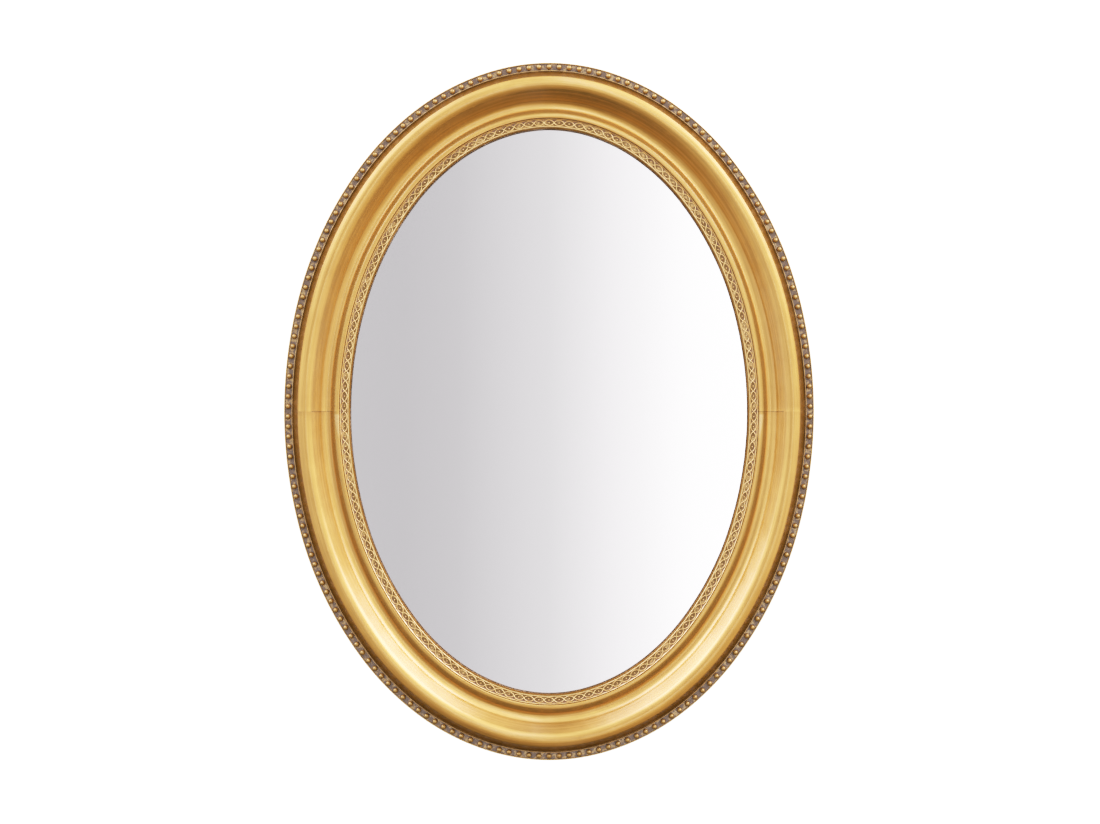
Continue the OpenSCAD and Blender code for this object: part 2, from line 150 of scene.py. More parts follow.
up_and_down = glow_curve(direction["Z"], [
    (-1, 0.14), (-0.9, 0.20), (-0.55, 0.42), (-0.23, 0.74), (-0.14, 0.80), (0.14, 0.80),
    (0.22, 1.05), (0.5, 1.26), (0.77, 1.10), (0.88, 0.86), (0.95, 0.66), (1, 0.55)])
left_and_right = glow_curve(direction["X"], [
    (-1, 1.32), (-0.9, 1.38), (-0.55, 1.08), (-0.22, 0.93), (-0.12, 0.80), (-0.064, 0.76),
    (-0.04, 0.825), (0, 1.136), (0.043, 1.855), (0.065, 2.5), (0.09, 2.9), (0.125, 1.5),
    (0.4, 1.45), (0.85, 1.38), (1, 1.35)])
# What comes from behind the wall's plane fades to a half
past_the_wall = node(studio, "MapRange", {0: direction["Y"], 1: -0.2, 2: 0.4, 3: 1.0, 4: 0.5},
                     interpolation_type="SMOOTHSTEP").outputs[0]
both_ways = maths(studio, "MULTIPLY", up_and_down, left_and_right)
radiance = maths(studio, "MULTIPLY", both_ways, past_the_wall)
print("studio nodes for the radiance:", len(studio.nodes))

# %% Warm light from below and from the sides
warm_below = curve_of(studio, on_ramp(direction["Z"]), [
    (0.0, (1.0, 0.87, 0.66)), (0.04, (1.0, 0.84, 0.56)), (0.16, (1.0, 0.78, 0.44)),
    (0.3, (1.0, 0.85, 0.62)), (0.43, (1, 1, 1))])
warm_sides = curve_of(studio, on_ramp(direction["X"]), [
    (0.44, (1, 1, 0.97)), (0.464, (1, 1, 1)), (0.565, (1, 1, 1)), (0.64, (1.0, 0.96, 0.85)),
    (1.0, (1.0, 0.96, 0.85))])
tint = node(studio, "VectorMath", {0: warm_below, 1: warm_sides}, operation="MULTIPLY").outputs[0]
light = node(studio, "VectorMath", {0: tint, "Scale": radiance}, operation="SCALE").outputs[0]
print("studio nodes with the tint:", len(studio.nodes))

# %% Softboxes, high on both sides
SOFTBOX_TINT = (1.0, 0.97, 1.3)
# Each has the direction of its middle, its radiance, and in degrees its core and its edge
SOFTBOXES = (
    ((0.70, -0.42, 0.58), 3.0, 8, 26), ((0.71, 0.02, 0.70), 1.6, 8, 26),
    ((-0.70, -0.20, 0.68), 1.8, 12, 34), ((-0.61, -0.50, 0.61), 1.0, 8, 26),
)
SEEN_WHITE = 2.4


def softbox(middle, strength, core, edge):
    """A round glow about a direction: full within core degrees, gone at edge degrees"""
    middle = Vector(middle).normalized()
    facing = node(studio, "VectorMath", {0: towards, 1: middle}, operation="DOT_PRODUCT")
    gone, full = (math.cos(math.radians(angle)) for angle in (edge, core))
    share = node(studio, "MapRange", {0: facing.outputs["Value"], 1: gone, 2: full},
                 interpolation_type="SMOOTHSTEP").outputs[0]
    colour = [strength * part / BRIGHTEST ** 2 for part in SOFTBOX_TINT]
    return node(studio, "VectorMath", {0: colour, "Scale": share}, operation="SCALE").outputs[0]


for box in SOFTBOXES:
    light = node(studio, "VectorMath", {0: light, 1: softbox(*box)}, operation="ADD").outputs[0]
glow = node(studio, "Background", {"Color": light, "Strength": BRIGHTEST ** 2})
white = node(studio, "Background", {"Color": (1, 1, 1, 1), "Strength": SEEN_WHITE})
seen = node(studio, "LightPath").outputs["Is Camera Ray"]
either = node(studio, "MixShader", {0: seen, 1: glow.outputs[0], 2: white.outputs[0]})
node(studio, "OutputWorld", {"Surface": either.outputs[0]})
print("softboxes:", len(SOFTBOXES), "studio nodes:", len(studio.nodes))

# %% [markdown]
# ## The camera's response
# A camera holds back bright light, or polished gold would burn out wherever it catches a
# softbox. A ready-made look could do that, but each bends the colours in its own way. So the
# plain view transform stays, and one curve for all three colours, through a few points
# fitted to the photograph, holds the light back.

# %% The tone curve
WHITE = 2.2
TONES = ((0.12, 0.105), (0.45, 0.45), (0.75, 0.68), (1.02, 0.80), (1.45, 0.93))
view = bpy.context.scene.view_settings
view.view_transform = "Standard"
view.use_curve_mapping = True
mapping = view.curve_mapping
mapping.white_level = (WHITE, WHITE, WHITE)
master = mapping.curves[3]
for light_in, light_out in TONES:
    master.points.new(light_in / WHITE, light_out)
mapping.update()
print("a light of 0.5, 1 and 2 comes out as",
      *(round(mapping.evaluate(master, x / WHITE), 2) for x in (0.5, 1, 2)))

# %% [markdown]
# ## The floor
# The mirror hangs on a wall, so this picture shows no floor, but views from above do, and a
# plain pale one is all they need. It is kept out of reflections, because the painted studio
# already holds the light from below.

# %% The floor
FLOOR_SIZE, FLOOR_LEVEL = 6, -1.2
bpy.ops.mesh.primitive_plane_add(size=FLOOR_SIZE, location=(0, 0, FLOOR_LEVEL))
floor = bpy.context.object
floor.name = "floor"
floor_paint = bpy.data.materials.new("pale floor")
floor_paint.use_nodes = True
paint = floor_paint.node_tree.nodes["Principled BSDF"].inputs
paint["Base Color"].default_value = (0.78, 0.77, 0.75, 1)
paint["Roughness"].default_value = 0.7
floor.data.materials.append(floor_paint)
floor.visible_glossy = False
print("floor:", FLOOR_SIZE, "m wide, at height", FLOOR_LEVEL)

# %% [markdown]
# ## The oval
# A joiner's oval isn't an ellipse but a few circle bows that meet without a kink, five to a
# quarter here. That suits Blender well: a section drawn once can be spun about one centre
# after the other, and the moulding keeps the same width everywhere. Everything is built
# lying on the bench, face up, and hung on the wall when it is done.

# %% The nine bows of a half, from the right seam to the left
HALF_W = 285.0
# A bow is its centre and radius in mm, and the directions where it starts and ends in
# degrees; the breaks between bows have slopes of whole numbers
BREAKS = [0, math.degrees(math.atan2(7, 24)), math.degrees(math.atan2(3, 4)),
          math.degrees(math.atan2(4, 3)), math.degrees(math.atan2(24, 7)), 90]
RADII = [490, 402.5, 300, 252.5, 215]
CENTRES = [(-205, 0), (-121, 24.5), (-39, 86), (-10.5, 124), (0, 160)]

quarter = list(zip(CENTRES, RADII, BREAKS, BREAKS[1:]))
bows = quarter[:4] + [(CENTRES[4], RADII[4], BREAKS[4], 180 - BREAKS[4])]
bows += [((-c[0], c[1]), r, 180 - end, 180 - start) for c, r, start, end in reversed(quarter[:4])]


def half_length(inset):
    """How long the upper half of the rail is in mm, at an inset from the outer edge"""
    return sum((r - inset) * math.radians(end - start) for _, r, start, end in bows)


print("bows:", len(bows), "half the outer edge in mm:", round(half_length(0), 1))

# %% [markdown]
# ## Working on the bench
# These are the moves that every piece below uses. A section is drawn as by hand: one point
# is set down and extruded from place to place, then the last one is joined to the first.
# Spin turns what is selected about a centre, so each call carries the section on along one
# bow. Selecting by place, in code, stands for a box select with the mouse.

# %% Selecting and finishing
# In mm: points closer than DOUBLED are one point, and what is within TOUCHING of a plane or
# within a HAIR of a height lies on it
DOUBLED, TOUCHING, HAIR = 0.002, 0.001, 0.01


def only(piece):
    """Selects this piece and no other"""
    bpy.ops.object.select_all(action="DESELECT")
    piece.select_set(True)
    bpy.context.view_layer.objects.active = piece


def select_where(test):
    """In edit mode, selects the vertices whose place passes a test, with their edges and faces"""
    mesh = bmesh.from_edit_mesh(bpy.context.object.data)
    for vertex in mesh.verts:
        vertex.select_set(bool(test(vertex.co)))
    mesh.select_flush_mode()
    bmesh.update_edit_mesh(bpy.context.object.data)


def close_up():
    """Merges doubled points, turns all faces outwards and leaves edit mode"""
    bpy.ops.mesh.select_all(action="SELECT")
    bpy.ops.mesh.remove_doubles(threshold=DOUBLED * MM)
    bpy.ops.mesh.normals_make_consistent(inside=False)
    bpy.ops.object.mode_set(mode="OBJECT")


def modify(piece, kind, **settings):
    """Adds a modifier and applies it"""
    only(piece)
    bpy.ops.object.modifier_add(type=kind)
    modifier = piece.modifiers[-1]
    for name, value in settings.items():
        setattr(modifier, name, value)
    bpy.ops.object.modifier_apply(modifier=modifier.name)


def smooth(piece, crease):
    """Shades a piece smooth, but for edges sharper than crease in degrees"""
    only(piece)
    bpy.ops.object.shade_smooth_by_angle(angle=math.radians(crease))


# %% Drawing a section and spinning it
def draw(name, points):
    """Draws a closed line of points (x, y, z in mm) and stays in edit mode, all selected"""
    places = [Vector(p) * MM for p in points]
    bpy.ops.mesh.primitive_plane_add(size=MM, location=places[0])
    piece = bpy.context.object
    piece.name = piece.data.name = name
    bpy.ops.object.transform_apply(location=True, rotation=False, scale=False)
    bpy.ops.object.mode_set(mode="EDIT")
    bpy.ops.mesh.select_all(action="SELECT")
    bpy.ops.mesh.merge(type="CENTER")
    for here, there in zip(places, places[1:]):
        bpy.ops.mesh.extrude_vertices_move(TRANSFORM_OT_translate={"value": there - here})
    if len(points) > 2:
        # The last point is joined to the first
        mesh = bmesh.from_edit_mesh(piece.data)
        ends = [v for v in mesh.verts if len(v.link_edges) == 1]
        bpy.ops.mesh.select_all(action="DESELECT")
        for vertex in ends:
            vertex.select_set(True)
        bpy.ops.mesh.edge_face_add()
    bpy.ops.mesh.select_all(action="SELECT")
    return piece


def spin_half(step):
    """Spins what is selected round the upper half, with a ring about every step mm"""
    for centre, radius, start, end in bows:
        turn = math.radians(end - start)
        bpy.ops.mesh.spin(steps=max(2, round(turn * radius / step)), angle=-turn,
                          center=(centre[0] * MM, centre[1] * MM, 0), axis=(0, 0, 1))


def run_moulding(name, section, step):
    """A section, as (inset from the outer edge, height) in mm, run round the upper half"""
    piece = draw(name, [(HALF_W - inset, 0, height) for inset, height in section])
    spin_half(step)
    for side in (-1, 1):
        select_where(lambda p: abs(p.y) < TOUCHING * MM and p.x * side > 0)
        bpy.ops.mesh.edge_face_add()
    close_up()
    return piece


def bow(middle, size, start, end, steps):
    """Points on a bow of a circle or an ellipse, for a section"""
    angles = [math.radians(start + (end - start) * i / steps) for i in range(steps + 1)]
    return [(middle[0] + size[0] * math.cos(a), middle[1] + size[1] * math.sin(a)) for a in angles]


# %% Turning, hanging and handing over
BUMPER = 5


def other_half(piece, name):
    """A copy with its own mesh, turned half way round"""
    only(piece)
    bpy.ops.object.duplicate()
    copy = bpy.context.object
    copy.name = copy.data.name = name
    copy.rotation_euler.z = math.pi
    bpy.ops.object.transform_apply(location=False, rotation=True, scale=False)
    return copy


def hang(piece):
    """Stands a piece up against the wall, as far off it as the bumpers are thick"""
    only(piece)
    piece.rotation_euler.x = math.pi / 2
    piece.location.y = -BUMPER * MM
    bpy.ops.object.transform_apply(location=True, rotation=True, scale=False)


def hand_over(piece, slot, *nodes, body="framed_mirror"):
    """Says which body a piece rides on and which nodes it replaces; slot is not used"""
    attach(piece, body)
    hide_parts(*nodes)
    triangles = sum(len(face.vertices) - 2 for face in piece.data.polygons)
    print(piece.name, "triangles:", triangles)


# %% [markdown]
# ## Where a point lies on the rail
# Leaf, streaks and wear follow the moulding round, so the finishes need to know how far
# along the rail a point lies, how far in from the outer edge and how high above the back.
# That can't come from plain object coordinates. It is worked out once for each finished
# piece, from the bows, and kept in an attribute called "rail", in metres.

# %% The rail attribute
def mark_rail(piece):
    """Writes (way along, distance in, height above the back) to each vertex"""
    places = np.empty(3 * len(piece.data.vertices))
    piece.data.vertices.foreach_get("co", places)
    x, y, z = places.reshape(-1, 3).T / MM
    along, inset, way = np.zeros_like(x), np.zeros_like(x), 0.0
    for centre, radius, start, end in quarter:
        dx, dz = abs(x) - centre[0], abs(z) - centre[1]
        facing = np.degrees(np.arctan2(dz, dx))
        inside = (facing >= start) & (facing <= end)
        along[inside] = way + radius * np.radians(facing[inside] - start)
        inset[inside] = radius - np.hypot(dx, dz)[inside]
        way += radius * math.radians(end - start)
    # The way is a whole quarter now. The ends at height 0 belong to the piece's own half
    along = np.where(x < 0, 2 * way - along, along)
    lower = z < math.copysign(TOUCHING, -z.mean())
    along = np.where(lower, 4 * way - along, along)
    rail = np.stack([along, inset, -y - BUMPER], axis=1) * MM
    layer = piece.data.attributes.new("rail", "FLOAT_VECTOR", "POINT")
    layer.data.foreach_set("vector", rail.astype(np.float32).ravel())


def both_halves(upper, name, crease):
    """Copies the upper half to a lower one, hangs both and shades them; gives the lower one"""
    lower = other_half(upper, name)
    for half in (upper, lower):
        hang(half)
        mark_rail(half)
        smooth(half, crease)
    print(upper.name, "and", lower.name, "hang with", len(lower.data.vertices), "points each")
    return lower


# %% [markdown]
# ## The gilded moulding
# The big roll rises steeply behind the pearls, falls over into a hollow, climbs again to a
# small roll and drops to the seat of the guilloche; a plain lip ends it at the glass. A curve
# with a bevel could be run round the oval, too, but a spun section keeps every edge where it
# is drawn. The wood was worked by hand, so its face isn't quite true. A Displace modifier
# with a soft cloud pattern moves the face, and only the face, inwards by up to a third of a
# millimetre.

# %% The section of the moulding
# Heights over the back in mm: the seats of both ornaments, and the floor of the rebate
PEARL_SEAT, SEAT, REBATE = 10, 16, 12
moulding = [
    # The back's corner, and the sunk seat of the pearls with the step behind it
    (1, 0), (0, 1), (0, PEARL_SEAT), (9.6, PEARL_SEAT), (9.6, 12.5), (10, 12.5),
    # The big roll's flank and crest
    (12.3, 17.7), (14.5, 22.7), *bow((17.87, 26.83), (1.8, 1.8), 156, 120, 5),
    *bow((24, 16), (14, 14), 115, 90, 6), *bow((24, 19), (11, 11), 85, 43, 8),
    # The fall into the hollow, and the hollow
    (34.1, 24.29), (36.2, 22.04), (38.3, 19.79), *bow((47.3, 24.07), (9.5, 9.5), 223, 270, 9),
    *bow((47.3, 20.57), (6, 6), 275, 314, 6), (52.8, 17.54),
    # The small roll
    *bow((57.67, 15.29), (5, 5), 134, 94, 7), (58.6, 20.34), (59.6, 20.3), (60.1, 20.1),
    (60.335, 19.7), (60.335, 18.5),
    # The seat of the guilloche, the lip and the rebate that the glass lies in
    (60.335, SEAT), (70.235, SEAT), (70.235, 17.4), *bow((70.5, 16.2), (1.2, 1.2), 90, 0, 5),
    (71.7, REBATE), (65.7, REBATE), (65.7, 0),
]
print("points in the section:", len(moulding))

# %% Run the moulding round, and work its face by hand
# In mm: where the face begins, how near the seams it stays true, and the deepest cut
FACE_ABOVE, SEAM_KEPT, DEEPEST = 12.6, 2, 0.33
frame_upper = run_moulding("gilded_moulding_upper", moulding, step=3.0)
bpy.ops.object.mode_set(mode="EDIT")
bpy.ops.mesh.select_mode(type="VERT")
select_where(lambda p: p.z > FACE_ABOVE * MM and abs(p.z - SEAT * MM) > HAIR * MM
             and abs(p.y) > SEAM_KEPT * MM)
bpy.ops.object.vertex_group_assign_new()
bpy.ops.object.mode_set(mode="OBJECT")
frame_upper.vertex_groups[0].name = "face"
hand_work = bpy.data.textures.new("hand work", "CLOUDS")
hand_work.noise_scale = 22 * MM
modify(frame_upper, "DISPLACE", texture=hand_work, texture_coords="LOCAL", strength=DEEPEST * MM,
       mid_level=1.0, vertex_group="face")
frame_lower = both_halves(frame_upper, "gilded_moulding_lower", 32)
hand_over(frame_upper, "gilded_wood", "frame_upper_half")
hand_over(frame_lower, "gilded_wood", "frame_lower_half")

# %% [markdown]
# ## The pearl beading
# The pearls sit on a sunk bed between two thin beads. The strip is run like the moulding.
# For the pearls, one ball is cut off at the bed; Array repeats it at an even pitch and Curve
# bends the row round the oval. Two modifiers place them all, and no sum is needed for it.

# %% The strip under the pearls
PEARL_ROW, PEARL_BED = 4.65, 12
beading_strip = [
    (0, PEARL_SEAT), *bow((0.6, 12.6), (0.6, 0.6), 180, 15, 6),
    (1.6, PEARL_BED), (PEARL_ROW, PEARL_BED), (7.7, PEARL_BED),
    *bow((8.7, 12.6), (0.6, 0.6), 165, 0, 6), (9.3, PEARL_SEAT),
]
strip_upper = run_moulding("beading_strip_upper", beading_strip, step=4.0)
strip_lower = both_halves(strip_upper, "beading_strip_lower", 50)


# %% A path round the upper half
def handle_reach(turn, radius):
    """The length of bezier handles for a true bow that turns so far, in radians"""
    return 4 / 3 * math.tan(turn / 4) * radius


def path_round_half(inset):
    """A bezier curve round the upper half, at an inset from the outer edge"""
    bpy.ops.curve.primitive_bezier_curve_add()
    path = bpy.context.object
    path.data.dimensions = "2D"
    line = path.data.splines[0]
    line.resolution_u = 48
    line.bezier_points.add(len(bows) + 1 - len(line.bezier_points))
    reach = [handle_reach(math.radians(end - start), r - inset) for _, r, start, end in bows]
    joints = [(bows[0], bows[0][2])] + [(b, b[3]) for b in bows]
    for i, (point, ((centre, radius, _, _), facing)) in enumerate(zip(line.bezier_points, joints)):
        out = Vector((math.cos(math.radians(facing)), math.sin(math.radians(facing)), 0))
        ahead = Vector((-out.y, out.x, 0))
        place = Vector((*centre, 0)) + (radius - inset) * out
        point.handle_left_type = point.handle_right_type = "FREE"
        point.co = place * MM
        point.handle_left = (place - ahead * reach[max(i - 1, 0)]) * MM
        point.handle_right = (place + ahead * reach[min(i, len(reach) - 1)]) * MM
    return path


# %% The pearls
PEARLS = 95
# In mm: the ball's radius, the height of its middle, and where it is cut off
PEARL_RADIUS, PEARL_HEIGHT, PEARL_CUT = 3, 12.6, 11.7
pearl_pitch = half_length(PEARL_ROW) / PEARLS

bpy.ops.mesh.primitive_uv_sphere_add(segments=12, ring_count=8, radius=PEARL_RADIUS * MM,
                                     location=(pearl_pitch / 2 * MM, 0, PEARL_HEIGHT * MM))
pearls_upper = bpy.context.object
pearls_upper.name = pearls_upper.data.name = "pearls_upper"
bpy.ops.object.transform_apply(location=True, rotation=False, scale=False)
bpy.ops.object.mode_set(mode="EDIT")
bpy.ops.mesh.select_all(action="SELECT")
bpy.ops.mesh.bisect(plane_co=(0, 0, PEARL_CUT * MM), plane_no=(0, 0, 1), clear_inner=True,
                    use_fill=True)
close_up()
modify(pearls_upper, "ARRAY", count=PEARLS, use_relative_offset=False, use_constant_offset=True,
       constant_offset_displace=(pearl_pitch * MM, 0, 0))
pearl_path = path_round_half(PEARL_ROW)
modify(pearls_upper, "CURVE", object=pearl_path, deform_axis="POS_X")
bpy.data.objects.remove(pearl_path)
pearls_lower = both_halves(pearls_upper, "pearls_lower", 60)
for name, strip, pearls in (("pearl_beading_upper", strip_upper, pearls_upper),
                            ("pearl_beading_lower", strip_lower, pearls_lower)):
    hand_over(strip, "gilded_beading", name)
    hand_over(pearls, "gilded_beading", name)
print("pitch of the pearls in mm:", round(pearl_pitch, 2))

# %% [markdown]
# ## The guilloche
# Two strands swing from side to side and cross after each loop, one over and one under. In
# each loop sits a small boss. Carving it as one piece would need a very fine mesh all over;
# modelling one loop, and repeating it as the pearls were, costs little. A strand is a
# straight half-round bar first. A short curve, which also climbs from under to over, bends
# it to its bow; the other strand is the same bar turned half way round.

# %% The band under the strands
BAND = 60.635
BAND_MIDDLE = BAND + 4.65
CARVED_BED = 17.5
guilloche_strip = [
    (BAND, SEAT), (BAND, 18.2), (BAND + 0.1, 18.35), (BAND + 0.25, 18.38), (BAND + 0.45, 18.25),
    (BAND + 1.1, 17.6), (BAND + 1.3, CARVED_BED), (BAND_MIDDLE, CARVED_BED),
    (BAND + 7.85, CARVED_BED), *bow((BAND + 8.65, 17.85), (0.65, 0.55), 180, 0, 6),
    (BAND + 9.3, SEAT),
]
band_upper = run_moulding("guilloche_band_upper_strip", guilloche_strip, step=4.0)
band_lower = both_halves(band_upper, "guilloche_band_lower_strip", 50)

# %% One swing of a strand
LOOPS = 77
SWING, WEAVE = 2.9, 0.2
# How steeply a strand climbs at the top of its swing, as a share of the weave
CLIMB = 0.6
loop = half_length(BAND_MIDDLE) / LOOPS
strand_radius = ((loop / 2) ** 2 + SWING ** 2) / (2 * SWING)
half_bow = math.asin(loop / 2 / strand_radius)
strand_length = 2 * half_bow * strand_radius

bpy.ops.curve.primitive_bezier_curve_add()
swing = bpy.context.object
swing.data.dimensions = "3D"
swing.data.twist_mode = "Z_UP"
swing.data.splines[0].resolution_u = 32
swing.data.splines[0].bezier_points.add(1)
handle_length = handle_reach(half_bow, strand_radius)
rise = Vector((handle_length * math.cos(half_bow), handle_length * math.sin(half_bow), 0))
fall = Vector((rise.x, -rise.y, 0))
over = Vector((handle_length, 0, WEAVE * CLIMB))
stations = [(Vector((-loop / 2, 0, -WEAVE)), rise), (Vector((0, SWING, 0)), over),
            (Vector((loop / 2, 0, WEAVE)), fall)]
for point, (place, handle) in zip(swing.data.splines[0].bezier_points, stations):
    point.handle_left_type = point.handle_right_type = "FREE"
    point.co = place * MM
    point.handle_left, point.handle_right = (place - handle) * MM, (place + handle) * MM
print("pitch of the loops in mm:", round(loop, 2), "strand in mm:", round(strand_length, 2))

# %% The bar, bent by the curve
# How high the strands lie over the back, in mm
STRAND_H = 17.78
BAR_STEPS = 6
half_round = [(-0.54, -0.6), (-0.58, 0), (-0.38, 0.46), (0, 0.62), (0.38, 0.46), (0.58, 0),
              (0.54, -0.6)]
strands_upper = draw("strands_upper", [(0, y, z) for y, z in half_round])
bar_step = (strand_length / BAR_STEPS * MM, 0, 0)
for _ in range(BAR_STEPS):
    bpy.ops.mesh.extrude_edges_move(TRANSFORM_OT_translate={"value": bar_step})
close_up()
modify(strands_upper, "CURVE", object=swing, deform_axis="POS_X")
bpy.data.objects.remove(swing)
bpy.ops.object.mode_set(mode="EDIT")
bpy.ops.mesh.select_all(action="SELECT")
bpy.ops.mesh.duplicate()
bpy.ops.transform.rotate(value=math.pi, orient_axis="Z", center_override=(0, 0, 0))
bpy.ops.mesh.select_all(action="SELECT")
bpy.ops.transform.translate(value=(loop / 2 * MM, 0, STRAND_H * MM))
bpy.ops.object.mode_set(mode="OBJECT")
print("points in the two strands of a loop:", len(strands_upper.data.vertices))

# %% The boss, and all loops
# As for the pearls: the radius, the height of the middle and that of the cut
BOSS_RADIUS, BOSS_HEIGHT, BOSS_CUT = 0.9, 17.4, 17.3
bpy.ops.mesh.primitive_uv_sphere_add(segments=8, ring_count=6, radius=BOSS_RADIUS * MM,
                                     location=(loop / 2 * MM, 0, BOSS_HEIGHT * MM))
bpy.ops.object.transform_apply(location=True, rotation=False, scale=False)
bpy.ops.object.mode_set(mode="EDIT")
bpy.ops.mesh.select_all(action="SELECT")
bpy.ops.mesh.bisect(plane_co=(0, 0, BOSS_CUT * MM), plane_no=(0, 0, 1), clear_inner=True,
                    use_fill=True)
close_up()
strands_upper.select_set(True)
bpy.context.view_layer.objects.active = strands_upper
bpy.ops.object.join()
modify(strands_upper, "ARRAY", count=LOOPS, use_relative_offset=False, use_constant_offset=True,
       constant_offset_displace=(loop * MM, 0, 0))
band_path = path_round_half(BAND_MIDDLE)
modify(strands_upper, "CURVE", object=band_path, deform_axis="POS_X")
bpy.data.objects.remove(band_path)
bpy.ops.object.mode_set(mode="EDIT")
close_up()
strands_lower = both_halves(strands_upper, "strands_lower", 60)
for name, strip, strands in (("guilloche_band_upper", band_upper, strands_upper),
                             ("guilloche_band_lower", band_lower, strands_lower)):
    hand_over(strip, "gilded_carving", name)
    hand_over(strands, "gilded_carving", name)

# %% [markdown]
# ## The silver behind the glass
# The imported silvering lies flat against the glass, and two faces in one place flicker when
# they are rendered. So a thinner film stands for it, a few hundredths of a millimetre behind
# the glass. Its outline is one point spun round the oval, filled and extruded.

# %% The silver film
# In mm: in from the outer edge, up from the back, and down from there
FILM_INSET, FILM_FRONT, FILM_THICKNESS = 66.7, 7.97, 0.17
film = draw("silver_film", [(HALF_W - FILM_INSET, 0, FILM_FRONT)])
spin_half(6.0)
bpy.ops.mesh.select_all(action="SELECT")
bpy.ops.mesh.duplicate()
bpy.ops.transform.rotate(value=math.pi, orient_axis="Z", center_override=(0, 0, 0))
bpy.ops.mesh.select_all(action="SELECT")
bpy.ops.mesh.remove_doubles(threshold=HAIR * MM)
bpy.ops.mesh.edge_face_add()
bpy.ops.mesh.extrude_region_move(TRANSFORM_OT_translate={"value": (0, 0, -FILM_THICKNESS * MM)})
close_up()
hang(film)
hand_over(film, "silvering", "silvering")

# %% [markdown]
# ## The gold
# Gold leaf is laid on the chalk ground, rubbed and lacquered, and toned with a brown glaze
# that stays in the deep places. The same brown is also painted shade: on the big roll's outer
# flank, in the quirks and corners, on the rise to the small roll, at the lip's edge and on the
# carved band's floor, and, on the inner part of the rail, more of it towards the bottom. The
# gilder's cloth and a century of dusting leave streaks along the moulding. Noise on object
# coordinates would give clouds; read from the rail attribute, and pulled out along it, the same
# noise gives streaks that follow the oval. Ramps over the same attribute say where glaze and
# painted shade lie, so one net of nodes serves all four golds, each with its own colours.
# Nothing is painted by hand, and no picture is needed.

# %% Small parts of a finish
def finish(name):
    """A new material with no nodes yet"""
    made = bpy.data.materials.new(name)
    made.use_nodes = True
    made.node_tree.nodes.clear()
    return made


def surface(tree, inputs):
    """Ends a finish in a Principled shader"""
    shell = node(tree, "BsdfPrincipled", inputs)
    node(tree, "OutputMaterial", {"Surface": shell.outputs[0]})


def mix_colours(tree, amount, low, high):
    """From low to high, each of them a socket or a colour"""
    low, high = (c if isinstance(c, bpy.types.NodeSocket) else (*c, 1) for c in (low, high))
    # A Mix node keeps its two colours in inputs 6 and 7, and the mixed one in output 2
    return node(tree, "Mix", {0: amount, 6: low, 7: high}, data_type="RGBA").outputs[2]


def noise(tree, vector, scale, detail, roughness):
    """Soft noise about 0.5"""
    return node(tree, "TexNoise", {"Vector": vector, "Scale": scale, "Detail": detail,
                                   "Roughness": roughness}).outputs["Fac"]


def stretched(tree, vector, stretch):
    """Each part of a vector times its own number: the smaller it is, the longer the pattern"""
    return node(tree, "VectorMath", {0: vector, 1: stretch}, operation="MULTIPLY").outputs[0]


def rail_of(tree):
    """The place on the rail"""
    return node(tree, "Attribute", attribute_name="rail").outputs["Vector"]


def spot_of(tree):
    """The place in the piece's own coordinates"""
    return node(tree, "TexCoord").outputs["Object"]


def by_place(tree, share, stops):
    """A ramp over one part of a place, with its stops in mm"""
    low, high = stops[0][0], stops[-1][0]
    part = node(tree, "MapRange", {0: share, 1: low * MM, 2: high * MM}).outputs[0]
    return curve_of(tree, part, [((x - low) / (high - low), y) for x, y in stops], eased=False)


# %% The colours of leaf, glaze and painted shade
pale_leaf, deep_leaf, lap_leaf = (0.825, 0.473, 0.121), (0.64, 0.350, 0.073), (0.95, 0.63, 0.29)
pale_pearl, deep_pearl = (0.69, 0.47, 0.165), (0.58, 0.33, 0.08)
cream, warm_cream, tan = (0.93, 0.70, 0.36), (0.95, 0.68, 0.32), (0.80, 0.52, 0.20)
brown, umber, olive = (0.295, 0.138, 0.018), (0.205, 0.093, 0.016), (0.21, 0.17, 0.06)
dusty, shaded_clay = (0.22, 0.165, 0.135), (0.27, 0.155, 0.095)
shadow, dull_shadow = (0.21, 0.12, 0.035), (0.24, 0.135, 0.04)
print("pale leaf is", round(pale_leaf[0] / pale_leaf[2], 1), "times as red as it is blue")

# %% Marks in the leaf
# A way along the noise that gives the lower half streaks of its own, how much narrower the
# lap of leaf gets for each mm down, and from how many mm inwards painted shade grows towards
# the bottom
HALVES_APART = (5.0, 0.0, 0.0)
LAP_NARROWS = 0.15
SHADE_BELOW_FROM = 30


def streaks_along(tree, rail, height):
    """Broad streaks and fine lines along the rail, other ones on each half"""
    lower = maths(tree, "LESS_THAN", height, 0.0)
    apart = node(tree, "VectorMath", {0: HALVES_APART, "Scale": lower}, operation="SCALE")
    rail = node(tree, "VectorMath", {0: rail, 1: apart.outputs[0]}, operation="ADD").outputs[0]
    streaks = noise(tree, stretched(tree, rail, (14, 800, 500)), 1.0, 5.0, 0.6)
    lines = noise(tree, stretched(tree, rail, (2.5, 420, 300)), 1.0, 3.0, 0.5)
    return streaks, lines


def glaze_and_shade_share(tree, place, height, patches, by_inset, by_height, least):
    """How much glaze and painted shade lies on a spot: where the ramps say so, broken up by
    patches, and on the inner part of the rail more towards the bottom of the oval and less
    towards the top, as painted shade"""
    amount = maths(tree, "MAXIMUM", by_place(tree, place["Y"], by_inset),
                   by_place(tree, place["Z"], by_height))
    # Painted shade: more brown towards the bottom of the oval, less towards the top
    lower = by_place(tree, height, [(-375, 0.4), (-200, 0.15), (0, 0), (375, -0.2)])
    hollow = maths(tree, "GREATER_THAN", place["Y"], SHADE_BELOW_FROM * MM)
    shaded_below = maths(tree, "MULTIPLY", amount, maths(tree, "MULTIPLY_ADD", lower, hollow, 1.0))
    broken = curve_of(tree, patches, [(0.36, least), (0.52, 1)])
    return maths(tree, "MULTIPLY", shaded_below, broken, clamp=True)


